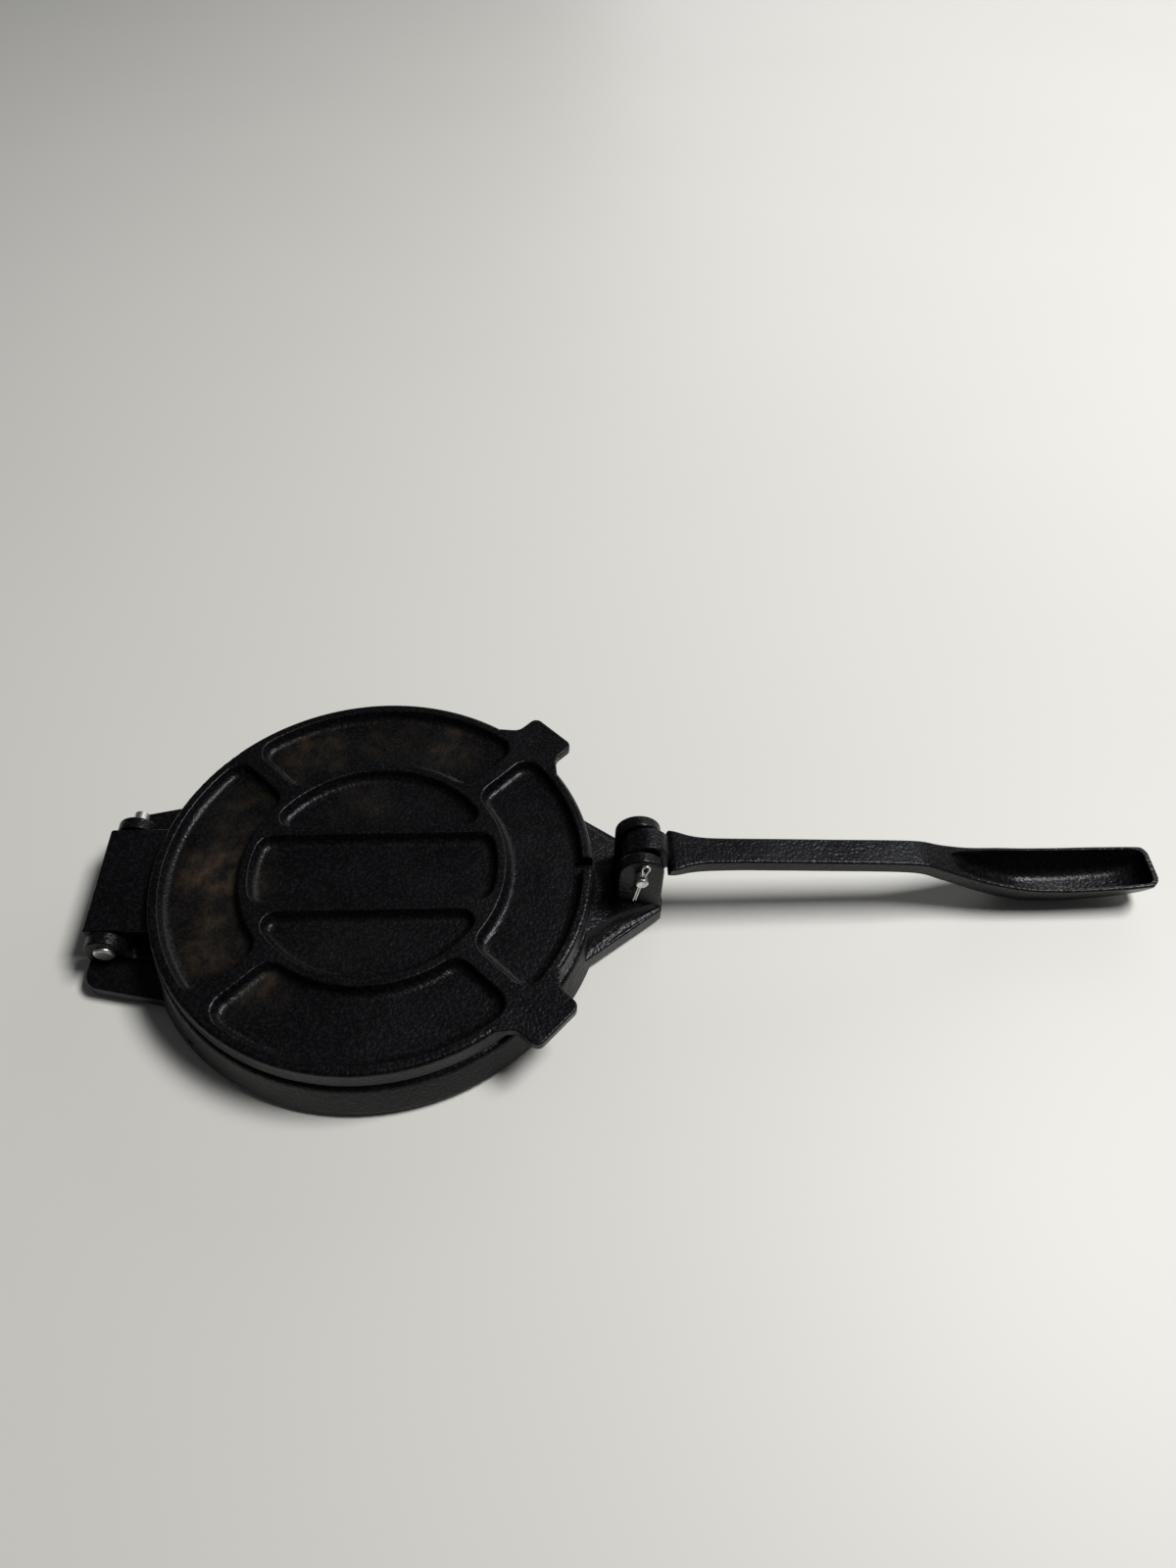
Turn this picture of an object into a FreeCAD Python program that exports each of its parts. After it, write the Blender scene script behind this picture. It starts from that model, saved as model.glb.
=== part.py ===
"""Cast-iron tortilla press: a round base, a ribbed lid hinged at the rear and a hand lever at the front.

Millimetres. +Z is up, +X runs from the lid hinge to the lever, and the origin is on the table under the
centre of the discs. The lid is closed, and the lever lies unfolded with its grip on the table.
"""
import FreeCAD, Part
import math
import os

# Heights above the table
skirt_bottom = 2.5
hinge_plate_top = 8.5
flange_top = 11.0
pressing_face = 20.2
lid_face_gap = 0.3
hinge_height = 16.5
pivot_height = 40.3

# Round bodies
lid_radius = 105.0
lid_height = 10.7
lid_wall_draft = 0.5
lid_top_round = 2.0
lid_bottom_round = 1.0
base_past_lid = 6.0
shoulder_past_lid = 1.6
shoulder_round = 3.6
skirt_wall = 5.5
skirt_edge_round = 1.2
plate_thickness = 4.8
under_fillet = 4.0

# Underside of the base
foot_radius = 6.0
foot_draft = 0.6
foot_inset = 7.0
foot_reach = 6.0
foot_count = 4
under_rib_count = 6
under_rib_thickness = 4.5
under_rib_height = 5.0
centre_foot_radius = 11.0
centre_foot_root_radius = 14.0

# Recesses in the lid's top
recess_depth = 5.2
recess_draft = 2.5
recess_floor_round = 4.0
recess_edge_round = 1.0
rim_land = 4.7
ring_rib = 4.0
inner_recess_radius = 59.3
rib_width = 7.4
rib_angle = 45.0
rib_count = 4
recess_corner = 9.0
half_moon_start = 24.0
half_moon_corner = 7.0
centre_half_width = 19.5
centre_corner = 8.5

# Two tabs and the notch on the lid's rim
tab_angle = 44.0
tab_length = 16.8
tab_half = 13.7
tab_neck_length = 4.0
tab_root_half = 21.0
tab_root_inside = 3.4
tab_thickness = 4.6
tab_corner_round = 4.0
tab_neck_round = 6.5
tab_edge_round = 0.9
notch_width = 6.9
notch_angle = 0.0
notch_depth = 7.0

# Lid hinge: tongue between two lugs
hinge_past_base = 12.0
tongue_width = 58.0
tongue_top = 8.0
tongue_heel = 10.0
tongue_heel_drop = 4.4
tongue_heel_round = 1.0
tongue_back_round = 1.8
tongue_boss_back = 4.6
tongue_boss = 7.4
tongue_boss_round = 4.4
tongue_edge_round = 1.0
tongue_root_inside = 12.0
tongue_ramp = 14.6
tongue_ramp_round = 5.0
lug_side_gap = 0.6
lug_thickness = 6.5
lug_radius = 9.2
lug_edge_round = 1.0
web_top = 10.2
web_fillet = 5.0
web_inside = 12.0

# Hinge plate behind the disc
hinge_plate_back = 9.8
hinge_plate_back_half = 48.5
hinge_plate_root_half = 57.2
hinge_plate_corner = 8.5
hinge_plate_edge_round = 1.2
hinge_root_round = 14.0
hinge_slot_front = 7.0

# Flange, raised foot and two ears of the clevis in front
pivot_past_base = 16.0
ear_radius = 10.9
ear_thickness = 6.3
ear_edge_round = 1.3
clevis_gap = 14.6
flange_past_ear = 0.8
flange_end_half = 14.3
flange_root_half = 41.5
flange_end_round = 1.2
flange_edge_round = 1.0
flange_rim = 3.4
foot_end_half = 14.1
foot_end_top = 14.4
foot_root_top = 20.0
foot_bend_half = 20.0
foot_bend_before_pivot = 9.0
foot_root_half = 34.0
foot_bend_round = 26.0
# The hollow flank of the clevis foot: how far in and how far up each step lies
cove_shares = [(0.0, 0.0), (0.36, 0.06), (0.66, 0.22), (0.86, 0.48), (0.97, 0.80), (1.08, 1.0)]
flange_hollow_wall = 5.0
flange_hollow_roof = 4.5
clevis_root_round = 5.0
root_bite = 1.5
root_step = 6.0
root_turn = 8.0

# Pins and the split pin
hinge_pin_radius = 3.6
hinge_pin_head_radius = 4.8
hinge_pin_head_height = 1.5
hinge_pin_stub = 7.8
pivot_pin_radius = 3.0
pivot_pin_head_radius = 5.0
pivot_pin_head_height = 2.2
pivot_pin_stub = 5.4
head_round_share = 0.75
pin_end_chamfer = 0.5
fixed_hole_clearance = 0.05
running_clearance = 0.1
split_wire_radius = 0.5
split_leg_offset = 0.53
split_hole_radius = 1.2
split_end_margin = 2.4
split_eye_radius = 1.6
split_eye_shank = 5.2
split_eye_straight = 1.2
split_neck_gap = 0.6
split_neck_round = 1.5
split_shoulder_round = 1.2
split_leg = 17.0
split_leg_step = 0.8
split_tilt = 9.0

# Lever
barrel_radius = 11.2
barrel_width = 11.8
barrel_edge_round = 0.9
barrel_forward = 3.2
neck_half_width = 5.2
neck_top = 4.0
neck_bottom = 8.6
neck_start = 2.0
neck_end = 20.0
neck_end_rise = 2.3
neck_round = 1.6
shoulder_start = 13.2
shoulder_end_round = 3.6
shoulder_corner_round = 2.2
lever_reach = 258.5
grip_half_width = 13.7
grip_depth = 18.6
lever_top_round = 1.0
tip_corner_round = 6.5
plan_margin = 0.1
lever_section_count = 40
section_crowding_share = 1.5
# The grip's plan follows these rows of the table, and then runs straight to the tip
plan_rows = slice(-5, -2)
# Each row: place along the reach, half width, height of the underside as a share of the pivot height,
# depth, half width of the underside as a share of the section's own, lower round as a share of that
lever_shares = [
    (0.051, 0.862, 0.862, 0.350, 0.914, 0.17),
    (0.085, 0.700, 0.814, 0.452, 0.917, 0.22),
    (0.120, 0.562, 0.784, 0.495, 0.909, 0.28),
    (0.193, 0.522, 0.769, 0.495, 0.895, 0.31),
    (0.356, 0.522, 0.722, 0.495, 0.895, 0.31),
    (0.487, 0.533, 0.675, 0.505, 0.877, 0.34),
    (0.532, 0.547, 0.625, 0.548, 0.840, 0.41),
    (0.567, 0.584, 0.511, 0.613, 0.775, 0.55),
    (0.608, 0.664, 0.372, 0.699, 0.692, 0.73),
    (0.652, 0.781, 0.236, 0.796, 0.636, 0.85),
    (0.706, 0.912, 0.102, 0.930, 0.608, 0.92),
    (0.766, 0.985, 0.015, 1.000, 0.593, 0.97),
    (0.828, 1.000, 0.003, 1.000, 0.584, 1.00),
    (0.884, 0.985, 0.035, 0.957, 0.578, 1.00),
    (0.933, 0.960, 0.070, 0.905, 0.570, 0.98),
    (0.965, 0.930, 0.120, 0.825, 0.570, 0.96),
    (0.988, 0.900, 0.185, 0.700, 0.580, 0.94),
    (1.000, 0.870, 0.265, 0.530, 0.600, 0.92),
]
scoop_wall = 2.2
scoop_floor = 3.6
scoop_over = 3.0
scoop_first_depth = 1.2
scoop_section_count = 22
scoop_low_share = 0.8
scoop_corner_round = 4.5
# Each row: place along the reach, then the hollow's width and depth as shares of what the walls leave
scoop_shares = [
    (0.596, 0.55, 0.05),
    (0.621, 0.84, 0.42),
    (0.648, 0.95, 0.74),
    (0.689, 1.00, 0.94),
    (0.766, 1.00, 1.00),
    (0.884, 1.00, 1.00),
    (0.925, 0.99, 0.95),
    (0.953, 1.00, 0.92),
    (0.973, 1.00, 0.84),
    (0.986, 1.00, 0.66),
    (0.994, 1.00, 0.40),
]
overrun = 4.0

# Values worked out from the sizes above
base_radius = lid_radius + base_past_lid
shoulder_radius = lid_radius + shoulder_past_lid
hinge_x = -(base_radius + hinge_past_base)
pivot_x = base_radius + pivot_past_base
outer_recess_outer = lid_radius - rim_land
outer_recess_inner = inner_recess_radius + ring_rib
tab_reach = lid_radius + tab_length
tab_neck = lid_radius + tab_neck_length
lid_bottom = pressing_face + lid_face_gap
lid_top = lid_bottom + lid_height
plate_under = pressing_face - plate_thickness
lug_inner = tongue_width / 2 + lug_side_gap
lug_outer = lug_inner + lug_thickness
ear_inner = clevis_gap / 2
ear_outer = ear_inner + ear_thickness
flange_end = pivot_x + ear_radius + flange_past_ear
split_pin_y = -(ear_outer + pivot_pin_stub) + split_end_margin
edge_slack = running_clearance / 2


def vec(x, y, z=0.0):
    return FreeCAD.Vector(x, y, z)


def on_top(height):
    """Places an outline's (x, y) on a level plane."""
    return lambda u, v: vec(u, v, height)


def on_side(y):
    """Places an outline's (x, z) on an upright plane along the press."""
    return lambda u, v: vec(u, y, v)


def on_station(x):
    """Places a section's (y, z) on an upright plane across the press."""
    return lambda u, v: vec(x, u, v)


def rounded_edges(corners, place, closed=True):
    """Edges through (u, v) or (u, v, round) corners, with a tangent arc at each rounded corner."""
    count = len(corners)
    starts, ends, middles = [], [], []
    for i, corner in enumerate(corners):
        u, v = corner[0], corner[1]
        turn_round = corner[2] if len(corner) > 2 else 0.0
        if turn_round == 0.0 or (not closed and i in (0, count - 1)):
            starts.append((u, v))
            ends.append((u, v))
            middles.append(None)
            continue
        before = corners[i - 1]
        after = corners[(i + 1) % count]
        in_u, in_v = before[0] - u, before[1] - v
        out_u, out_v = after[0] - u, after[1] - v
        in_length = math.hypot(in_u, in_v)
        out_length = math.hypot(out_u, out_v)
        in_u, in_v = in_u / in_length, in_v / in_length
        out_u, out_v = out_u / out_length, out_v / out_length
        half = math.acos(in_u * out_u + in_v * out_v) / 2
        tangent = turn_round / math.tan(half)
        start = (u + in_u * tangent, v + in_v * tangent)
        end = (u + out_u * tangent, v + out_v * tangent)
        mid_u, mid_v = in_u + out_u, in_v + out_v
        mid_length = math.hypot(mid_u, mid_v)
        reach = turn_round / math.sin(half) - turn_round
        starts.append(start)
        ends.append(end)
        middles.append((u + mid_u / mid_length * reach, v + mid_v / mid_length * reach))
    edges = []
    for i in range(count):
        if middles[i]:
            edges.append(Part.Arc(place(*starts[i]), place(*middles[i]), place(*ends[i])).toShape())
        if not closed and i == count - 1:
            break
        first, second = place(*ends[i]), place(*starts[(i + 1) % count])
        if first.distanceToPoint(second) > Part.Precision.confusion():
            edges.append(Part.makeLine(first, second))
    return edges


def outline(corners, place):
    return Part.Wire(rounded_edges(corners, place))


def raised(corners, low, high):
    """A solid that stands on a level outline."""
    return Part.Face(outline(corners, on_top(low))).extrude(vec(0, 0, high - low))


def across(corners, low, high):
    """A solid with a side outline, from one y to the other."""
    return Part.Face(outline(corners, on_side(low))).extrude(vec(0, high - low, 0))


def turned(corners):
    """A solid of revolution about the discs' centre line."""
    return Part.Face(outline(corners, on_side(0))).revolve(vec(0, 0, 0), vec(0, 0, 1), 360)


def mirrored_corners(half):
    """Adds the corners on the other side of the centre line, in reverse order."""
    return half + [(c[0], -c[1]) + tuple(c[2:]) for c in reversed(half)]


def softened(solid, radius, wanted):
    """Rounds the edges for which wanted(edge) is true."""
    return solid.makeFillet(radius, [edge for edge in solid.Edges if wanted(edge)])


def at_height(z):
    """True for an edge that lies at one height."""
    return lambda edge: abs(edge.BoundBox.ZMin - z) < edge_slack and abs(edge.BoundBox.ZMax - z) < edge_slack


def at_either_side(low, high):
    """True for an edge that lies in one of two planes across y."""
    def test(edge):
        box = edge.BoundBox
        flat = box.YMax - box.YMin < edge_slack
        return flat and min(abs(box.YMin - low), abs(box.YMax - high)) < edge_slack
    return test


def bore(x, z, radius, half_length):
    """A hole along y."""
    return Part.makeCylinder(radius, 2 * half_length, vec(x, -half_length, z), vec(0, 1, 0))


def one_solid(shape):
    cleaned = shape.removeSplitter()
    return cleaned.Solids[0] if len(cleaned.Solids) == 1 else cleaned


def base_body():
    """The round plate with its drafted skirt, the ribs below it, a centre foot and four feet at the rim."""
    inner_top = shoulder_radius - skirt_wall
    body = turned([
        (0, pressing_face),
        (shoulder_radius, pressing_face, shoulder_round),
        (base_radius, skirt_bottom, skirt_edge_round),
        (base_radius - skirt_wall, skirt_bottom, skirt_edge_round),
        (inner_top, plate_under, under_fillet),
        (0, plate_under),
    ])
    extras = [Part.makeCone(centre_foot_radius, centre_foot_root_radius, plate_under + plate_thickness / 2)]
    for i in range(under_rib_count):
        rib = Part.makeBox(inner_top + skirt_wall / 2, under_rib_thickness,
                           under_rib_height + plate_thickness / 2,
                           vec(0, -under_rib_thickness / 2, plate_under - under_rib_height))
        rib.rotate(vec(0, 0, 0), vec(0, 0, 1), 360 * (i + 0.5) / under_rib_count)
        extras.append(rib)
    for i in range(foot_count):
        foot = Part.makeCone(foot_radius - foot_draft, foot_radius, skirt_bottom + foot_reach,
                             vec(base_radius - foot_inset, 0, 0))
        foot.rotate(vec(0, 0, 0), vec(0, 0, 1), 360 * (i + 0.5) / foot_count)
        extras.append(foot)
    return body.multiFuse(extras)


def base_interior():
    """The space inside the middle of the skirt's wall and below the plate, kept free of what is joined on."""
    top = plate_under + plate_thickness / 2
    return turned([
        (0, skirt_bottom - overrun),
        (base_radius - skirt_wall / 2, skirt_bottom - overrun),
        (base_radius - skirt_wall / 2, skirt_bottom),
        (shoulder_radius - skirt_wall / 2, top),
        (0, top),
    ])


def root_corners(half_width, side, root_round):
    """Where a flange runs into the skirt: a hollow corner, then a point inside the disc."""
    radius = base_radius - root_bite
    angle = math.asin(half_width / radius)
    inside = base_radius - root_step
    further = angle + math.radians(root_turn)
    return [
        (side * radius * math.cos(angle), -half_width, root_round),
        (side * inside * math.cos(further), -inside * math.sin(further)),
    ]


def hinge_plate():
    """The flat plate behind the disc that carries the two lugs."""
    back = hinge_x - hinge_plate_back
    half = [(back, -hinge_plate_back_half, hinge_plate_corner)]
    half += root_corners(hinge_plate_root_half, -1, hinge_root_round)
    plate = raised(mirrored_corners(half), skirt_bottom, hinge_plate_top)
    plate = softened(plate, hinge_plate_edge_round, at_height(hinge_plate_top))
    slot_length = hinge_plate_back + hinge_slot_front + overrun
    slot = Part.makeBox(slot_length, 2 * lug_inner, hinge_plate_top + overrun,
                        vec(back - overrun, -lug_inner, skirt_bottom - overrun))
    return plate.cut(slot)


def hinge_lug(side):
    """One arched lug with a low web to the disc; side is 1 on the far side and -1 on the near side."""
    web_end = -math.sqrt(base_radius ** 2 - lug_outer ** 2) + web_inside
    corners = [
        (hinge_x - lug_radius, skirt_bottom + hinge_plate_edge_round),
        (hinge_x - lug_radius, hinge_height + lug_radius, lug_radius),
        (hinge_x + lug_radius, hinge_height + lug_radius, lug_radius),
        (hinge_x + lug_radius, web_top, web_fillet),
        (web_end, web_top),
        (web_end, skirt_bottom + hinge_plate_edge_round),
    ]
    low, high = sorted((side * lug_inner, side * lug_outer))
    return softened(across(corners, low, high), lug_edge_round, at_either_side(low, high))


def clevis_flange():
    """The low flange in front of the disc, hollow below."""
    half = [(flange_end, -flange_end_half, flange_end_round)]
    half += root_corners(flange_root_half, 1, clevis_root_round)
    flange = raised(mirrored_corners(half), skirt_bottom, flange_top)
    return softened(flange, flange_edge_round, at_height(flange_top))


def clevis_foot():
    """The raised foot under the ears, with hollow flanks that run out on the flange."""
    bend_x = pivot_x - foot_bend_before_pivot
    root_x = base_radius - web_inside
    inset = flange_rim / 2
    low_half = [
        (flange_end, -flange_end_half + flange_edge_round),
        (bend_x, -(foot_bend_half + flange_rim * 2), foot_bend_round),
        (root_x, -(flange_root_half + inset)),
    ]
    high_half = [
        (flange_end, -foot_end_half + flange_edge_round * 2),
        (bend_x, -foot_bend_half, foot_bend_round),
        (root_x, -foot_root_half),
    ]
    slope = (foot_root_top - foot_end_top) / (flange_end - root_x)

    def on_slope(share):
        """Places an outline's (x, y) on a plane between the flange's top and the foot's sloping top."""
        rise = foot_end_top - flange_top
        return lambda u, v: vec(u, v, flange_top + share * (rise + slope * (flange_end - u)))

    wires = []
    for run_share, rise_share in cove_shares:
        corners = [
            (low[0] + (high[0] - low[0]) * run_share, low[1] + (high[1] - low[1]) * run_share) + low[2:]
            for low, high in zip(low_half, high_half)
        ]
        wires.append(outline(mirrored_corners(corners), on_slope(rise_share)))
    return Part.makeLoft(wires, True, True)


def ear(side):
    """One arched ear of the clevis."""
    corners = [
        (pivot_x - ear_radius, flange_top),
        (pivot_x - ear_radius, pivot_height + ear_radius, ear_radius),
        (pivot_x + ear_radius, pivot_height + ear_radius, ear_radius),
        (pivot_x + ear_radius, flange_top),
    ]
    low, high = sorted((side * ear_inner, side * ear_outer))
    return softened(across(corners, low, high), ear_edge_round, at_either_side(low, high))


def flange_hollow():
    """The space under the clevis flange."""
    start = base_radius - skirt_wall / 2
    half = [
        (flange_end - flange_hollow_wall, -(flange_end_half - flange_hollow_wall)),
        (base_radius + flange_hollow_wall / 2, -(flange_root_half - 2 * flange_hollow_wall)),
    ]
    hollow = raised(mirrored_corners(half), skirt_bottom - overrun, flange_top - flange_hollow_roof)
    return hollow.cut(Part.makeCylinder(start, flange_top, vec(0, 0, skirt_bottom - overrun)))


def base_plate():
    parts = [hinge_plate(), clevis_flange(), clevis_foot()]
    for side in (-1, 1):
        parts.append(hinge_lug(side))
        parts.append(ear(side))
    interior = base_interior()
    body = base_body().multiFuse([part.cut(interior) for part in parts]).cut(flange_hollow())
    body = body.cut(bore(hinge_x, hinge_height, hinge_pin_radius + fixed_hole_clearance, lug_outer + overrun))
    body = body.cut(bore(pivot_x, pivot_height, pivot_pin_radius + fixed_hole_clearance, ear_outer + overrun))
    return one_solid(body)


def polar(radius, degrees):
    return radius * math.cos(math.radians(degrees)), radius * math.sin(math.radians(degrees))


def turned_point(u, v, degrees):
    c, s = math.cos(math.radians(degrees)), math.sin(math.radians(degrees))
    return u * c - v * s, u * s + v * c


def arc_about(centre, radius, first, last, height, middle=None):
    """An arc of given radius about a centre, between two points given by their directions."""
    start = math.atan2(first[1] - centre[1], first[0] - centre[0])
    end = math.atan2(last[1] - centre[1], last[0] - centre[0])
    if middle is None:
        sweep = (end - start + math.pi) % (2 * math.pi) - math.pi
        angle = start + sweep / 2
    else:
        angle = math.atan2(middle[1] - centre[1], middle[0] - centre[0])
    point = vec(centre[0] + radius * math.cos(angle), centre[1] + radius * math.sin(angle), height)
    return Part.Arc(vec(first[0], first[1], height), point, vec(last[0], last[1], height)).toShape()


def on_circle(centre, radius):
    """The point of a circle about the origin in the direction of a fillet's centre."""
    length = math.hypot(*centre)
    return centre[0] / length * radius, centre[1] / length * radius


def outer_recess_wire(index, grow, height):
    """The outline of one recess between two ribs, grown or shrunk on all sides by grow."""
    step = 360 / rib_count
    side = rib_width / 2 - grow
    corner = recess_corner + grow
    outer, inner = outer_recess_outer + grow, outer_recess_inner - grow
    far = math.sqrt((outer - corner) ** 2 - (side + corner) ** 2)
    near = math.sqrt((inner + corner) ** 2 - (side + corner) ** 2)
    first = rib_angle + index * step
    second = first + step
    points = {}
    for name, u, v, angle in (
        ("far_a", far, side + corner, first), ("near_a", near, side + corner, first),
        ("far_b", far, -(side + corner), second), ("near_b", near, -(side + corner), second),
    ):
        points[name] = turned_point(u, v, angle)
        points[name + "_line"] = turned_point(u, math.copysign(side, v), angle)
        points[name + "_arc"] = on_circle(points[name], outer if name.startswith("far") else inner)
    middle = polar(outer, first + step / 2)
    edges = [
        arc_about((0, 0), outer, points["far_a_arc"], points["far_b_arc"], height, middle),
        arc_about(points["far_b"], corner, points["far_b_arc"], points["far_b_line"], height),
        Part.makeLine(vec(*points["far_b_line"], height), vec(*points["near_b_line"], height)),
        arc_about(points["near_b"], corner, points["near_b_line"], points["near_b_arc"], height),
        arc_about((0, 0), inner, points["near_b_arc"], points["near_a_arc"], height, middle),
        arc_about(points["near_a"], corner, points["near_a_arc"], points["near_a_line"], height),
        Part.makeLine(vec(*points["near_a_line"], height), vec(*points["far_a_line"], height)),
        arc_about(points["far_a"], corner, points["far_a_line"], points["far_a_arc"], height),
    ]
    return Part.Wire(edges)


def half_moon_wire(side, grow, height):
    """The outline of the recess between the ring rib and a straight rib; side is 1 or -1."""
    radius = inner_recess_radius + grow
    corner = half_moon_corner + grow
    line = half_moon_start - grow
    reach = math.sqrt((radius - corner) ** 2 - (line + corner) ** 2)
    right, left = (reach, side * (line + corner)), (-reach, side * (line + corner))
    right_arc, left_arc = on_circle(right, radius), on_circle(left, radius)
    right_line, left_line = (reach, side * line), (-reach, side * line)
    return Part.Wire([
        arc_about((0, 0), radius, right_arc, left_arc, height, (0, side * radius)),
        arc_about(left, corner, left_arc, left_line, height),
        Part.makeLine(vec(*left_line, height), vec(*right_line, height)),
        arc_about(right, corner, right_line, right_arc, height),
    ])


def centre_wire(grow, height):
    """The outline of the long middle recess, whose ends follow the ring rib."""
    radius = inner_recess_radius + grow
    corner = centre_corner + grow
    line = centre_half_width + grow
    reach = math.sqrt((radius - corner) ** 2 - (line - corner) ** 2)
    edges = []
    for turn in (1, -1):
        low, high = (turn * reach, -turn * (line - corner)), (turn * reach, turn * (line - corner))
        low_arc, high_arc = on_circle(low, radius), on_circle(high, radius)
        low_line, high_line = (turn * reach, -turn * line), (turn * reach, turn * line)
        edges += [
            arc_about(low, corner, low_line, low_arc, height),
            arc_about((0, 0), radius, low_arc, high_arc, height),
            arc_about(high, corner, high_arc, high_line, height),
            Part.makeLine(vec(*high_line, height), vec(-high_line[0], high_line[1], height)),
        ]
    return Part.Wire(edges)


def recess(wire_at):
    """The space of one recess: a drafted wall with a rounded foot, open at the lid's top."""
    floor = lid_top - recess_depth
    rise = recess_draft * overrun / recess_depth
    tool = Part.makeLoft([wire_at(-recess_draft, floor), wire_at(rise, lid_top + overrun)], True, True)
    return softened(tool, recess_floor_round, at_height(floor))


def lid_tongue():
    """The hinge tongue: a flat arm from the lid's edge with a boss round the pin and a square heel."""
    end = -lid_radius + tongue_root_inside
    corners = [
        (end, hinge_height + tongue_top),
        (hinge_x - tongue_heel, hinge_height + tongue_top, tongue_back_round),
        (hinge_x - tongue_heel, hinge_height - tongue_heel_drop, tongue_heel_round),
        (hinge_x - tongue_boss_back, hinge_height - tongue_boss, tongue_heel_round),
        (hinge_x + tongue_boss, hinge_height - tongue_boss, tongue_boss_round),
        (hinge_x + tongue_ramp, lid_bottom, tongue_ramp_round),
        (end, lid_bottom),
    ]
    half = tongue_width / 2
    return softened(across(corners, -half, half), tongue_edge_round, at_either_side(-half, half))


def lid_tab(side):
    """A stub on the lid's rim, flush with its top, at one side of the front."""
    angle = side * tab_angle
    half = [
        (tab_reach, -tab_half, tab_corner_round),
        (tab_neck, -tab_half, tab_neck_round),
        (math.sqrt(lid_radius ** 2 - tab_root_half ** 2), -tab_root_half),
        (lid_radius - tab_root_inside, -tab_root_half),
    ]
    tab = raised(mirrored_corners(half), lid_top - tab_thickness, lid_top)
    inside = lid_radius - tab_root_inside + edge_slack
    tab = softened(tab, tab_edge_round, lambda edge: at_height(lid_top)(edge) and edge.BoundBox.XMin > inside)
    tab.rotate(vec(0, 0, 0), vec(0, 0, 1), angle)
    return tab


def lid_notch():
    """The slot through the rim at the front."""
    depth = lid_radius - outer_recess_outer + 2 * overrun
    slot = Part.makeBox(depth, notch_width, notch_depth + overrun,
                        vec(lid_radius + overrun - depth, -notch_width / 2, lid_top - notch_depth))
    slot.rotate(vec(0, 0, 0), vec(0, 0, 1), notch_angle)
    return slot


def lid():
    body = turned([
        (0, lid_bottom),
        (lid_radius + lid_wall_draft, lid_bottom, lid_bottom_round),
        (lid_radius, lid_top, lid_top_round),
        (0, lid_top),
    ])
    tools = [recess(centre_wire)]
    for side in (-1, 1):
        tools.append(recess(lambda grow, z, side=side: half_moon_wire(side, grow, z)))
    for i in range(rib_count):
        tools.append(recess(lambda grow, z, i=i: outer_recess_wire(i, grow, z)))
    for tool in tools:
        body = body.cut(tool)
    reach = outer_recess_outer + recess_edge_round
    body = softened(body, recess_edge_round, lambda edge: at_height(lid_top)(edge)
                    and max(math.hypot(v.X, v.Y) for v in edge.Vertexes) < reach)
    body = body.multiFuse([lid_tongue(), lid_tab(1), lid_tab(-1)]).cut(lid_notch())
    body = body.cut(bore(hinge_x, hinge_height, hinge_pin_radius + running_clearance, tongue_width))
    return one_solid(body)


def smooth_value(rows, place, column):
    """A column's value at a place between the rows, by cubic pieces that never overshoot."""
    def secant(i):
        return (rows[i + 1][column] - rows[i][column]) / (rows[i + 1][0] - rows[i][0])

    def slope(i):
        if i in (0, len(rows) - 1):
            return secant(min(i, len(rows) - 2))
        before, after = secant(i - 1), secant(i)
        return 2 * before * after / (before + after) if before * after > 0 else 0.0

    i = max(k for k in range(len(rows) - 1) if rows[k][0] <= place or k == 0)
    span = rows[i + 1][0] - rows[i][0]
    t = (place - rows[i][0]) / span
    return (rows[i][column] * (1 + 2 * t) * (1 - t) ** 2 + rows[i + 1][column] * t * t * (3 - 2 * t)
            + span * (slope(i) * t * (1 - t) ** 2 - slope(i + 1) * t * t * (1 - t)))


def lever_size(place):
    """Half width, top height, depth and half width of the underside at a place along the lever."""
    half_width = grip_half_width * smooth_value(lever_shares, place, 1)
    depth = grip_depth * smooth_value(lever_shares, place, 3)
    top = pivot_height * smooth_value(lever_shares, place, 2) + depth
    return half_width, top, depth, half_width * smooth_value(lever_shares, place, 4)


def places_along(rows, count, crowding):
    """Places from the first row to the last, closer together towards the end."""
    first, last = rows[0][0], rows[-1][0]
    return [first + (last - first) * (1 - (1 - i / (count - 1)) ** crowding) for i in range(count)]


def grip_plan(inset, corner_round):
    """A tall block with the lever's plan, drawn in at the grip's sides and end; all its ends are rounded."""
    shoulder_half = grip_half_width * lever_shares[0][1]
    half = [
        (pivot_x + shoulder_start, -shoulder_half, shoulder_corner_round),
        (pivot_x + neck_end, -shoulder_half),
        (pivot_x + neck_end, -(grip_half_width + overrun)),
    ]
    sides = lever_shares[plan_rows] + [(1 - inset / lever_reach,) + lever_shares[-1][1:]]
    for place, width_share, *_ in sides:
        half.append((pivot_x + lever_reach * place, inset - plan_margin - grip_half_width * width_share))
    half[-1] += (corner_round,)
    return raised(mirrored_corners(half), -overrun, pivot_height + overrun)


def shoulder_profile():
    """A wide block with the side view of the bar's rear end, where the top rounds down to the neck."""
    start, end = pivot_x + shoulder_start, pivot_x + lever_reach + overrun
    top = lever_size(lever_shares[1][0])[1] + plan_margin
    side = grip_half_width + overrun
    return across([
        (start, -overrun),
        (end, -overrun),
        (end, top),
        (start, top, shoulder_end_round),
    ], -side, side)


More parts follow.
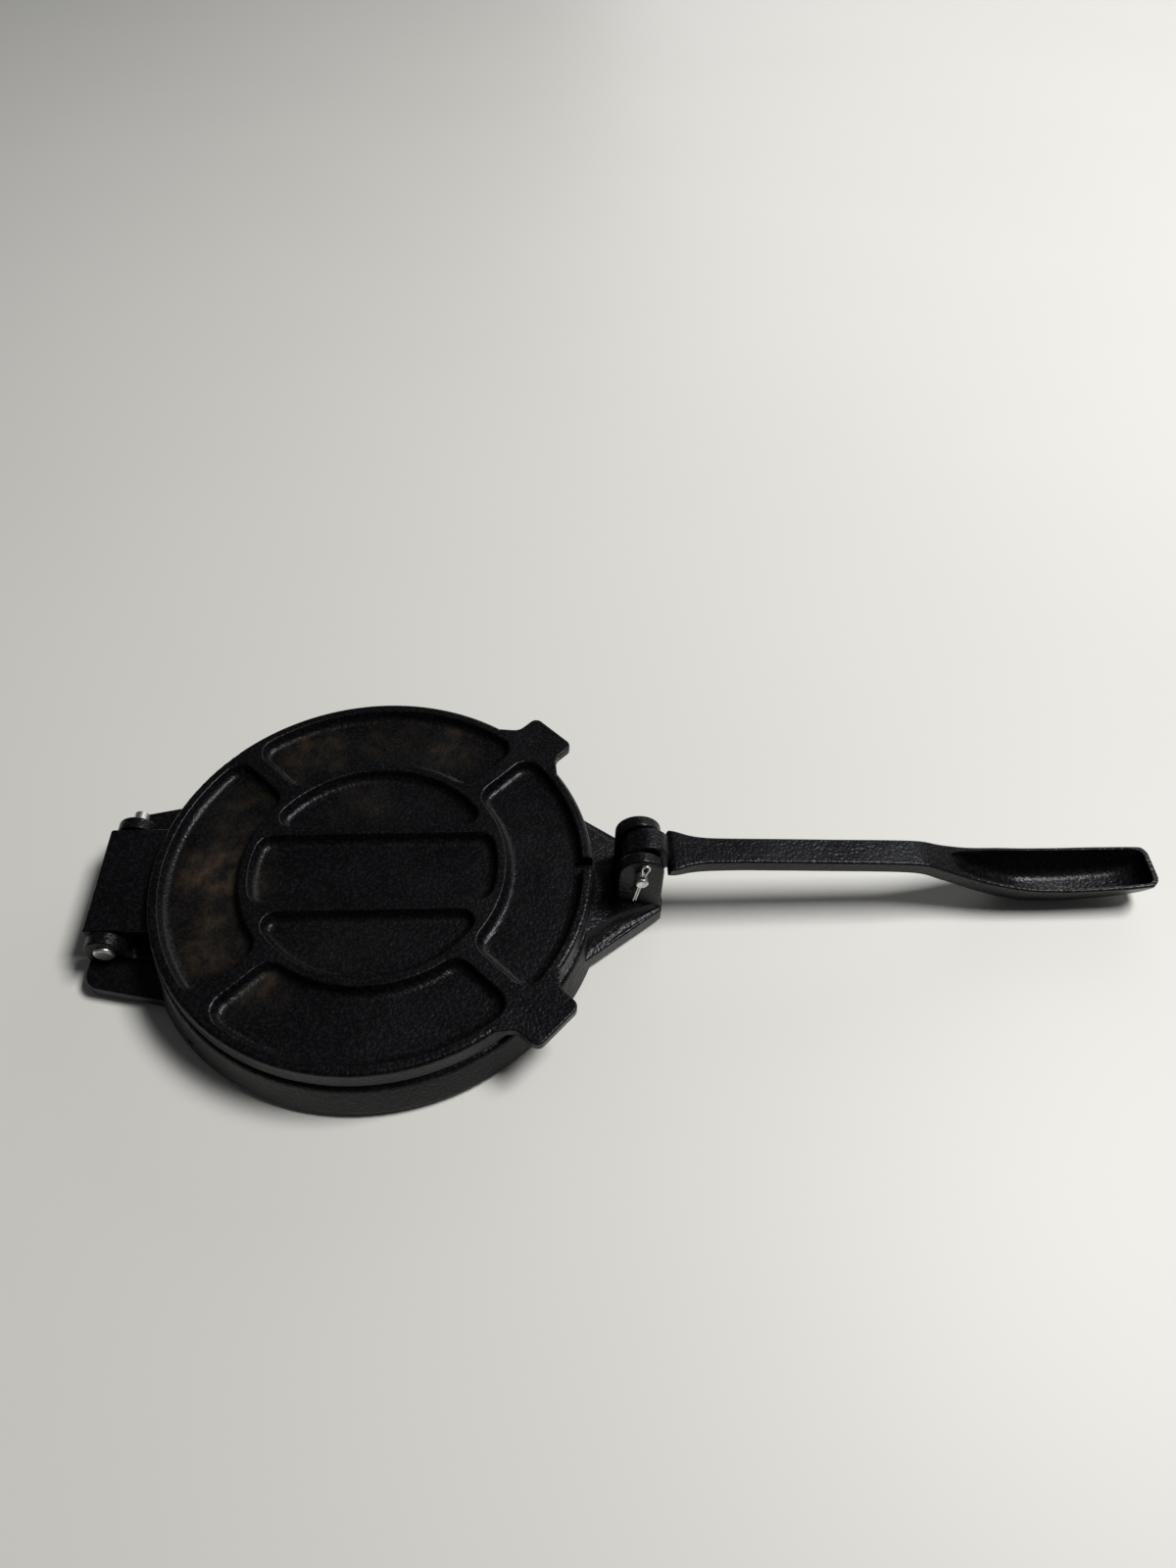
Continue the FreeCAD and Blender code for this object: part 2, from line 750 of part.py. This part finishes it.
def lever_arm():
    """The bar and its spoon-shaped grip."""
    wires = []
    for place in places_along(lever_shares, lever_section_count, section_crowding_share):
        half_width, top, depth, low_half = lever_size(place)
        low_round = low_half * smooth_value(lever_shares, place, 5)
        wires.append(outline([
            (-half_width, top, lever_top_round),
            (half_width, top, lever_top_round),
            (low_half, top - depth, low_round),
            (-low_half, top - depth, low_round),
        ], on_station(pivot_x + lever_reach * place)))
    return Part.makeLoft(wires, True, False).common(grip_plan(0, tip_corner_round)).common(shoulder_profile())


def lever_scoop():
    """The hollow in the grip, open at its top while the lever lies unfolded."""
    wires = []
    for place in places_along(scoop_shares, scoop_section_count, 1):
        half_width, top, depth, low_half = lever_size(place)
        half_width = (half_width - scoop_wall) * smooth_value(scoop_shares, place, 1)
        depth_left = depth - scoop_floor - scoop_first_depth
        depth = scoop_first_depth + depth_left * smooth_value(scoop_shares, place, 2)
        low_half = scoop_low_share * min(low_half, half_width)
        low_round = scoop_low_share * min(low_half, depth)
        flare = (half_width - low_half) / depth * scoop_over
        wires.append(outline([
            (-(half_width + flare), top + scoop_over),
            (half_width + flare, top + scoop_over),
            (low_half, top - depth, low_round),
            (-low_half, top - depth, low_round),
        ], on_station(pivot_x + lever_reach * place)))
    return Part.makeLoft(wires, True, False).common(grip_plan(scoop_wall, scoop_corner_round))


def lever():
    arm = lever_arm().cut(lever_scoop())
    half = barrel_width / 2
    barrel = bore(pivot_x + barrel_forward, pivot_height, barrel_radius, half)
    barrel = softened(barrel, barrel_edge_round, at_either_side(-half, half))
    neck = across([
        (pivot_x + neck_start, pivot_height + neck_top, neck_round),
        (pivot_x + neck_end, pivot_height - neck_end_rise),
        (pivot_x + neck_end, pivot_height - 2 * neck_end_rise),
        (pivot_x + neck_start, pivot_height - neck_bottom, neck_round),
    ], -neck_half_width, neck_half_width)
    body = arm.multiFuse([barrel, neck])
    body = body.cut(bore(pivot_x, pivot_height, pivot_pin_radius + running_clearance, barrel_width))
    return one_solid(body)


def headed_pin(radius, head_radius, head_height, head_face, end):
    """A pin along y with a domed head at head_face; end is the far end of its plain shank."""
    side = 1 if end > head_face else -1
    crown = head_face - side * head_height
    shank = Part.makeCylinder(radius, abs(end - head_face), vec(0, head_face), vec(0, side))
    tip = [edge for edge in shank.Edges if at_either_side(end, end)(edge)]
    shank = shank.makeChamfer(pin_end_chamfer, tip)
    head = Part.makeCylinder(head_radius, head_height, vec(0, crown), vec(0, side))
    head = softened(head, head_height * head_round_share, at_either_side(crown, crown))
    return head.fuse(shank)


def split_hole(y, tilt, radius):
    """The cross hole through a pin's end."""
    hole = Part.makeCylinder(split_hole_radius, 4 * radius, vec(0, y, -2 * radius))
    hole.rotate(vec(0, y, 0), vec(0, 1, 0), tilt)
    return hole


def split_pin(y, tilt, leg, radius):
    """A split pin of round wire: an eye above the pin and two legs through its hole."""
    neck = radius + split_neck_gap
    shoulder = neck + split_eye_shank
    crown = shoulder + split_eye_straight + split_eye_radius
    corners = [
        (-split_leg_offset, -leg),
        (-split_leg_offset, neck, split_neck_round),
        (-split_eye_radius, shoulder, split_shoulder_round),
        (-split_eye_radius, crown, split_eye_radius),
        (split_eye_radius, crown, split_eye_radius),
        (split_eye_radius, shoulder, split_shoulder_round),
        (split_leg_offset, neck, split_neck_round),
        (split_leg_offset, -leg + split_leg_step),
    ]
    path = Part.Wire(rounded_edges(corners, on_side(y), closed=False))
    ring = Part.Wire(Part.makeCircle(split_wire_radius, vec(-split_leg_offset, y, -leg), vec(0, 0, 1)))
    wire = path.makePipeShell([ring], True, False)
    wire.rotate(vec(0, y, 0), vec(0, 1, 0), tilt)
    return wire


def placed(shape, x, z):
    shape.translate(vec(x, 0, z))
    return shape


def hinge_pin():
    """The lid's hinge pin: its head is on the near side, and its plain end stands out of the far lug."""
    pin = headed_pin(hinge_pin_radius, hinge_pin_head_radius, hinge_pin_head_height, -lug_outer,
                     lug_outer + hinge_pin_stub)
    return placed(one_solid(pin), hinge_x, hinge_height)


def pivot_pin():
    """The lever's pivot pin: its head is on the far side, and the split pin crosses its near end."""
    pin = headed_pin(pivot_pin_radius, pivot_pin_head_radius, pivot_pin_head_height, ear_outer,
                     -(ear_outer + pivot_pin_stub))
    pin = pin.cut(split_hole(split_pin_y, split_tilt, pivot_pin_radius))
    return placed(one_solid(pin), pivot_x, pivot_height)


def main():
    os.makedirs("parts", exist_ok=True)
    split = split_pin(split_pin_y, split_tilt, split_leg, pivot_pin_radius)
    nodes = {
        "base_plate": base_plate(),
        "lid": lid(),
        "lever": lever(),
        "hinge_pin": hinge_pin(),
        "pivot_pin": pivot_pin(),
        "split_pin": placed(split, pivot_x, pivot_height),
    }
    for name, shape in nodes.items():
        box = shape.BoundBox
        print(f"{name}: {len(shape.Solids)} solid, valid {shape.isValid()}, volume {shape.Volume:.0f}, faces "
              f"{len(shape.Faces)}, x {box.XMin:.1f} to {box.XMax:.1f}, y {box.YMin:.1f} to {box.YMax:.1f}, "
              f"z {box.ZMin:.1f} to {box.ZMax:.1f}")
        shape.exportStep(os.path.join("parts", name + ".step"))


main()
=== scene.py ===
# %% [markdown]
# # A cast-iron tortilla press
# The press has three castings and three pieces of bright steel. The round base stands on a centre foot
# and four feet at its rim, the ribbed lid turns on a pin between two lugs at the rear, and the lever
# turns on a pin between two ears at the front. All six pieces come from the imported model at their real
# size and place, so this lesson is about their finish, the light and the camera.

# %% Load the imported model
import bpy
import math
from mathutils import Matrix, Vector


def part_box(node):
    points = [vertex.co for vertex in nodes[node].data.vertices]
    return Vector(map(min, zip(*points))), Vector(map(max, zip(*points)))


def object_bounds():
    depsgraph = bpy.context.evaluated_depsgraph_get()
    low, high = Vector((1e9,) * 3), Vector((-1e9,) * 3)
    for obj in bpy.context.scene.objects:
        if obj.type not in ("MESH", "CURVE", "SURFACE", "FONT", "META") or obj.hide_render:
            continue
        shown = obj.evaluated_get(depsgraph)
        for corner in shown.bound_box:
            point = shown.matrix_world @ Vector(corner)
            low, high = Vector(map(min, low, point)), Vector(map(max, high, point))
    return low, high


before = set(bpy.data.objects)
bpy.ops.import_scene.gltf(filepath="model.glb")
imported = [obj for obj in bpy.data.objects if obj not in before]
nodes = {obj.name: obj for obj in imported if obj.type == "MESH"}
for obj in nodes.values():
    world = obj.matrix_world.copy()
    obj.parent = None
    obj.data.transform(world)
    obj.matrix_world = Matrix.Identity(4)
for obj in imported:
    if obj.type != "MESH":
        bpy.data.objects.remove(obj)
cad_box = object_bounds()
for name, node in nodes.items():
    low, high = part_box(name)
    size = [round((b - a) * 1000, 1) for a, b in zip(low, high)]
    print(name, "mm", size, "triangles", len(node.data.polygons))

# %% [markdown]
# ## Small helpers
# A colour is written as the hex value that a picture editor shows, and one function turns it to the
# linear values that a shader needs. Another function adds a node to a material, sets it and links it.

# %% Helpers for colours, real sizes and nodes
MM = 0.001


def linear(hex_colour):
    """The linear red, green, blue and alpha of an sRGB hex colour."""
    values = [int(hex_colour[i:i + 2], 16) / 255 for i in (1, 3, 5)]
    return [v / 12.92 if v <= 0.04045 else ((v + 0.055) / 1.055) ** 2.4 for v in values] + [1.0]


def add(tree, kind, links=None, values=None, **settings):
    """Adds a node of a kind; links names its sockets' sources, values its sockets' constants."""
    node = tree.nodes.new("ShaderNode" + kind)
    for name, value in settings.items():
        setattr(node, name, value)
    for socket, value in (values or {}).items():
        node.inputs[socket].default_value = value
    for socket, source in (links or {}).items():
        tree.links.new(source, node.inputs[socket])
    return node


def pattern_scale(size_mm):
    """The scale of a texture whose marks are to be about this many millimetres across."""
    return 1 / (size_mm * MM)


def two_tones(tree, factor, low_colour, high_colour):
    """A mix from one colour, where the factor node's result is 0, to another, where it is 1."""
    mix = add(tree, "Mix", {"Factor": factor.outputs[0]}, data_type="RGBA")
    mix.inputs["A"].default_value = linear(low_colour)
    mix.inputs["B"].default_value = linear(high_colour)
    return mix.outputs["Result"]


def new_material(name):
    """A material with one Principled shader; returns it with its node tree and the shader."""
    material = bpy.data.materials.new(name)
    material.use_nodes = True
    tree = material.node_tree
    tree.nodes.clear()
    shader = add(tree, "BsdfPrincipled")
    add(tree, "OutputMaterial", {"Surface": shader.outputs["BSDF"]})
    return material, tree, shader


print("helpers ready")

# %% [markdown]
# ## Seasoned cast iron
# The castings are grey iron poured in green sand, and then baked with oil until the skin is black. The
# sand leaves a grain of a little under a millimetre, like orange peel, and slow waves from the mould's
# ramming. Grain that fine is lost at this picture's size, so it is drawn at one and a half millimetres.
# The baked oil is a hard polymer, so the surface behaves like a dark, half-glossy coating and not like
# bare metal. The grain is bump, because it is far finer than the mesh, and it is a little in the colour
# too. The gloss varies from place to place where the oil pooled or wore.

# %% The grain of the sand and the baked oil over it
GRAIN_MM = 1.5
PIT_MM = 3.0
WAVE_MM = 18
POOL_MM = 30
GRAIN_HEIGHT_MM = 0.25
PIT_HEIGHT_MM = 0.12
WAVE_HEIGHT_MM = 0.30
IRON_BLACK = "#050506"
IRON_GREY = "#161618"
IRON_SPECULAR = 0.21
IRON_SHEEN_TINT = "#f0f2f8"
ROUGHNESS_LOW = 0.28
ROUGHNESS_HIGH = 0.36
LID_ROUGHNESS_HIGH = 0.38


def iron_skin(tree, shader, roughness_high):
    """Links the sand grain to the normal and the pooled oil to the roughness; returns its nodes."""
    place = add(tree, "TexCoord").outputs["Object"]
    grain = add(tree, "TexNoise", {"Vector": place},
                {"Scale": pattern_scale(GRAIN_MM), "Detail": 1.5, "Roughness": 0.5})
    pits = add(tree, "TexNoise", {"Vector": place},
               {"Scale": pattern_scale(PIT_MM), "Detail": 2.0, "Roughness": 0.6})
    wave = add(tree, "TexNoise", {"Vector": place}, {"Scale": pattern_scale(WAVE_MM), "Detail": 2.0})
    pool = add(tree, "TexNoise", {"Vector": place},
               {"Scale": pattern_scale(POOL_MM), "Detail": 4.0, "Roughness": 0.6})
    slow = add(tree, "Bump", {"Height": wave.outputs["Fac"]},
               {"Strength": 1.0, "Distance": WAVE_HEIGHT_MM * MM})
    dimple = add(tree, "Bump", {"Height": pits.outputs["Fac"], "Normal": slow.outputs["Normal"]},
                 {"Strength": 1.0, "Distance": PIT_HEIGHT_MM * MM})
    peel = add(tree, "Bump", {"Height": grain.outputs["Fac"], "Normal": dimple.outputs["Normal"]},
               {"Strength": 1.0, "Distance": GRAIN_HEIGHT_MM * MM})
    gloss = add(tree, "MapRange", {"Value": pool.outputs["Fac"]},
                {"From Min": 0.35, "From Max": 0.65, "To Min": ROUGHNESS_LOW, "To Max": roughness_high})
    tree.links.new(peel.outputs["Normal"], shader.inputs["Normal"])
    tree.links.new(gloss.outputs["Result"], shader.inputs["Roughness"])
    shader.inputs["Specular IOR Level"].default_value = IRON_SPECULAR
    shader.inputs["Specular Tint"].default_value = linear(IRON_SHEEN_TINT)
    return place, grain, gloss


def iron_colour(tree, grain):
    """Black oil skin with a little more grey on the grain's tops."""
    tops = add(tree, "MapRange", {"Value": grain.outputs["Fac"]}, {"From Min": 0.45, "From Max": 0.75})
    return two_tones(tree, tops, IRON_BLACK, IRON_GREY)


iron, tree, shader = new_material("seasoned_cast_iron")
place, grain, gloss = iron_skin(tree, shader, ROUGHNESS_HIGH)
tree.links.new(iron_colour(tree, grain), shader.inputs["Base Color"])
print("material", iron.name, "grain", GRAIN_MM, "mm")

# %% [markdown]
# ## The lid's patina
# The floors of the lid's recesses keep a little kitchen damp, so a thin brown film of rust has come
# through the oil there: most in the recess next to the hinge, less in the one on the far side. The film
# is a colour that lies only at the height of the recess floors, so the mask is the product of that
# height, of soft round patches at chosen places and of a cloudy noise. The pressing face stays clean.

# %% Seasoned iron with brown film in the recesses
FILM_DARK = "#1f1b14"
FILM_BRIGHT = "#453522"
CLOUD_MM = 16
FLECK_MM = 8
RECESS_DEPTH_MM = 5.2
FILM_ROUGHER = 0.3
# The film is whole up to the first of these distances from the recess floor, and gone at the second
FILM_FULL_MM, FILM_END_MM = 0.3, 2.0
# A patch is at its full strength inside this share of its reach
PATCH_CORE = 0.2
lid_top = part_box("lid")[1][2]
recess_floor = lid_top - RECESS_DEPTH_MM * MM
# Each patch: x and y of its middle, its reach, all in millimetres, and its strength
FILM_PATCHES = [
    (-72, 2, 30, 1.0),
    (-74, -32, 30, 0.7),
    (-70, 34, 26, 0.45),
    (-48, -58, 24, 0.5),
    (-38, 74, 26, 0.55),
    (30, 78, 26, 0.55),
    (0, 84, 26, 0.3),
    (-12, 44, 24, 0.22),
    (-12, -40, 26, 0.12),
]


def film_mask(tree, place):
    """How much brown film shows at a place: soft patches, on the recess floors only."""
    full, end = FILM_FULL_MM * MM, FILM_END_MM * MM
    split = add(tree, "SeparateXYZ", {"Vector": place})
    below = add(tree, "MapRange", {"Value": split.outputs["Z"]},
                {"From Min": recess_floor + end, "From Max": recess_floor + full})
    above = add(tree, "MapRange", {"Value": split.outputs["Z"]},
                {"From Min": recess_floor - end, "From Max": recess_floor - full})
    near_floor = add(tree, "Math", {0: below.outputs["Result"], 1: above.outputs["Result"]},
                     operation="MULTIPLY")
    total = None
    for x, y, reach, strength in FILM_PATCHES:
        offset = add(tree, "VectorMath", {0: place}, {1: (x * MM, y * MM, recess_floor)},
                     operation="SUBTRACT")
        length = add(tree, "VectorMath", {0: offset.outputs["Vector"]}, operation="LENGTH")
        patch = add(tree, "MapRange", {"Value": length.outputs["Value"]},
                    {"From Min": reach * MM, "From Max": reach * MM * PATCH_CORE, "To Max": strength},
                    interpolation_type="SMOOTHSTEP").outputs["Result"]
        total = patch if total is None else add(tree, "Math", {0: total, 1: patch},
                                                operation="MAXIMUM").outputs[0]
    return add(tree, "Math", {0: total, 1: near_floor.outputs[0]}, operation="MULTIPLY").outputs[0]


lid_iron, tree, shader = new_material("seasoned_cast_iron_with_patina")
place, grain, gloss = iron_skin(tree, shader, LID_ROUGHNESS_HIGH)
film = film_mask(tree, place)
cloud = add(tree, "TexNoise", {"Vector": place},
            {"Scale": pattern_scale(CLOUD_MM), "Detail": 6.0, "Roughness": 0.62})
fleck = add(tree, "TexNoise", {"Vector": place},
            {"Scale": pattern_scale(FLECK_MM), "Detail": 5.0, "Roughness": 0.7})
patchy = add(tree, "MapRange", {"Value": cloud.outputs["Fac"]}, {"From Min": 0.28, "From Max": 0.66})
film_amount = add(tree, "Math", {0: film, 1: patchy.outputs["Result"]}, operation="MULTIPLY")
bright = add(tree, "MapRange", {"Value": fleck.outputs["Fac"]}, {"From Min": 0.42, "From Max": 0.75})
lid_colour = add(tree, "Mix", {
    "Factor": film_amount.outputs[0],
    "A": iron_colour(tree, grain),
    "B": two_tones(tree, bright, FILM_DARK, FILM_BRIGHT),
}, data_type="RGBA")
tree.links.new(lid_colour.outputs["Result"], shader.inputs["Base Color"])
matt = add(tree, "Math", {0: film_amount.outputs[0], 2: gloss.outputs["Result"]}, {1: FILM_ROUGHER},
           operation="MULTIPLY_ADD")
tree.links.new(matt.outputs[0], shader.inputs["Roughness"])
print("material", lid_iron.name, "patches", len(FILM_PATCHES))

# %% [markdown]
# ## Zinc-plated steel
# Both pins and the split pin are mild steel with a thin bright zinc plating. Zinc is a real metal
# surface, so it is fully metallic, with a pale grey colour, faint cloudy spangle and drawing marks.

# %% Bright zinc
ZINC_PALE = "#e6e5e1"
ZINC_DULL = "#bcbbb6"
SPANGLE_MM = 1.8
MARK_MM = 0.5
MARK_HEIGHT_MM = 0.03
ZINC_ROUGHNESS_PALE, ZINC_ROUGHNESS_DULL = 0.30, 0.46
zinc, tree, shader = new_material("bright_zinc_plated_steel")
place = add(tree, "TexCoord").outputs["Object"]
spangle = add(tree, "TexNoise", {"Vector": place},
              {"Scale": pattern_scale(SPANGLE_MM), "Detail": 4.0, "Roughness": 0.65})
marks = add(tree, "TexNoise", {"Vector": place}, {"Scale": pattern_scale(MARK_MM), "Detail": 2.0})
shade = add(tree, "MapRange", {"Value": spangle.outputs["Fac"]}, {"From Min": 0.35, "From Max": 0.65})
rough = add(tree, "MapRange", {"Value": spangle.outputs["Fac"]},
            {"From Min": 0.3, "From Max": 0.7,
             "To Min": ZINC_ROUGHNESS_DULL, "To Max": ZINC_ROUGHNESS_PALE})
dents = add(tree, "Bump", {"Height": marks.outputs["Fac"]},
            {"Strength": 0.6, "Distance": MARK_HEIGHT_MM * MM})
tree.links.new(two_tones(tree, shade, ZINC_DULL, ZINC_PALE), shader.inputs["Base Color"])
tree.links.new(rough.outputs["Result"], shader.inputs["Roughness"])
tree.links.new(dents.outputs["Normal"], shader.inputs["Normal"])
shader.inputs["Metallic"].default_value = 1.0
print("material", zinc.name)

# %% [markdown]
# ## Giving each piece its finish
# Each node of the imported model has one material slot, so the finish goes there. The castings share one
# iron, and the lid has its own because only it has the brown film.

# %% Finishes on the nodes
FINISHES = {
    "base_plate": iron,
    "lid": lid_iron,
    "lever": iron,
    "hinge_pin": zinc,
    "pivot_pin": zinc,
    "split_pin": zinc,
}
for name, material in FINISHES.items():
    nodes[name].data.materials.clear()
    nodes[name].data.materials.append(material)
    print(name, "is", material.name)

# %% [markdown]
# ## The camera
# The photograph was taken by hand from above the near side, with a wide phone lens. The camera stands
# at the place that a fit of the press's own circles gives, looks down by about half a right angle, and
# its lens is written for a film height of 36 mm.

# %% Camera at the photograph's place
CAMERA_PLACE_MM = (84.4, -286.5, 457.5)
CAMERA_YAW_DEG = 3.4
CAMERA_DOWN_DEG = 51.8
CAMERA_ROLL_DEG = 1.9
IMAGE_HEIGHT_PX = 1600
FOCAL_LENGTH_PX = 1085
FILM_HEIGHT_MM = 36
CLIP_START_MM = 10

camera_data = bpy.data.cameras.new("camera")
camera = bpy.data.objects.new("camera", camera_data)
bpy.context.scene.collection.objects.link(camera)
camera_data.sensor_fit = "VERTICAL"
camera_data.sensor_height = FILM_HEIGHT_MM
camera_data.lens = FILM_HEIGHT_MM * FOCAL_LENGTH_PX / IMAGE_HEIGHT_PX
camera_data.clip_start = CLIP_START_MM * MM
yaw, down = math.radians(CAMERA_YAW_DEG), math.radians(CAMERA_DOWN_DEG)
forward = Vector((math.sin(yaw) * math.cos(down), math.cos(yaw) * math.cos(down), -math.sin(down)))
roll = Matrix.Rotation(math.radians(CAMERA_ROLL_DEG), 4, "Z")
turn = forward.to_track_quat("-Z", "Y").to_matrix().to_4x4()
camera.matrix_world = Matrix.Translation(Vector(CAMERA_PLACE_MM) * MM) @ turn @ roll
bpy.context.scene.camera = camera
print("lens mm", round(camera_data.lens, 2), "place", [round(v, 3) for v in camera.location])

# %% [markdown]
# ## The floor
# The press lies on a pale table top. A large plain sheet just under the feet takes its shadow.

# %% Pale table top
FLOOR_REACH = 3.0
FLOOR_COLOUR = "#d9d8d2"
FLOOR_PALER = "#dedcd6"
MOTTLE_MM = 240
FLOOR_ROUGHNESS = 0.5
bpy.ops.object.select_all(action="DESELECT")
bpy.ops.mesh.primitive_plane_add(size=2 * FLOOR_REACH, location=(0, 0, cad_box[0][2]))
floor = bpy.context.object
floor.name = "floor"
floor_paint, tree, shader = new_material("pale_laminate")
place = add(tree, "TexCoord").outputs["Object"]
mottle = add(tree, "TexNoise", {"Vector": place}, {"Scale": pattern_scale(MOTTLE_MM), "Detail": 3.0})
tree.links.new(two_tones(tree, mottle, FLOOR_COLOUR, FLOOR_PALER), shader.inputs["Base Color"])
shader.inputs["Roughness"].default_value = FLOOR_ROUGHNESS
floor.data.materials.append(floor_paint)
print("floor", FLOOR_COLOUR)

# %% [markdown]
# ## The light
# A soft key lamp hangs high on the right and gives the flat faces their even sheen. A wide, low and weak
# lamp at the far right stands for a pale wall, and its mirror image draws the thin bright lines on the
# slopes that face away from the viewer. The rims towards the viewer stay dark, and the soft shadows fall
# to the left and a little forward. A weak even world light fills the rest.

# %% Lamps and world
# Each lamp: name, place in metres, width and height in metres, power in watts
LAMPS = [
    ("key_lamp", (1.18, 0.22, 1.90), (0.80, 0.60), 48.0),
    ("wall_lamp", (1.00, 1.85, 0.60), (1.80, 0.90), 9.0),
]
WORLD_COLOUR = "#e9edf2"
WORLD_STRENGTH = 0.06
press_middle = Vector((0.0, 0.0, 0.02))
for name, lamp_place, (width, height), power in LAMPS:
    lamp_data = bpy.data.lights.new(name, "AREA")
    lamp_data.shape = "RECTANGLE"
    lamp_data.size = width
    lamp_data.size_y = height
    lamp_data.energy = power
    lamp = bpy.data.objects.new(name, lamp_data)
    bpy.context.scene.collection.objects.link(lamp)
    lamp.location = lamp_place
    lamp.rotation_euler = (press_middle - lamp.location).to_track_quat("-Z", "Y").to_euler()
    print(name, power, "W")
world = bpy.data.worlds.new("world")
world.use_nodes = True
world.node_tree.nodes["Background"].inputs["Color"].default_value = linear(WORLD_COLOUR)
world.node_tree.nodes["Background"].inputs["Strength"].default_value = WORLD_STRENGTH
bpy.context.scene.world = world
bpy.context.scene.view_settings.view_transform = "Standard"
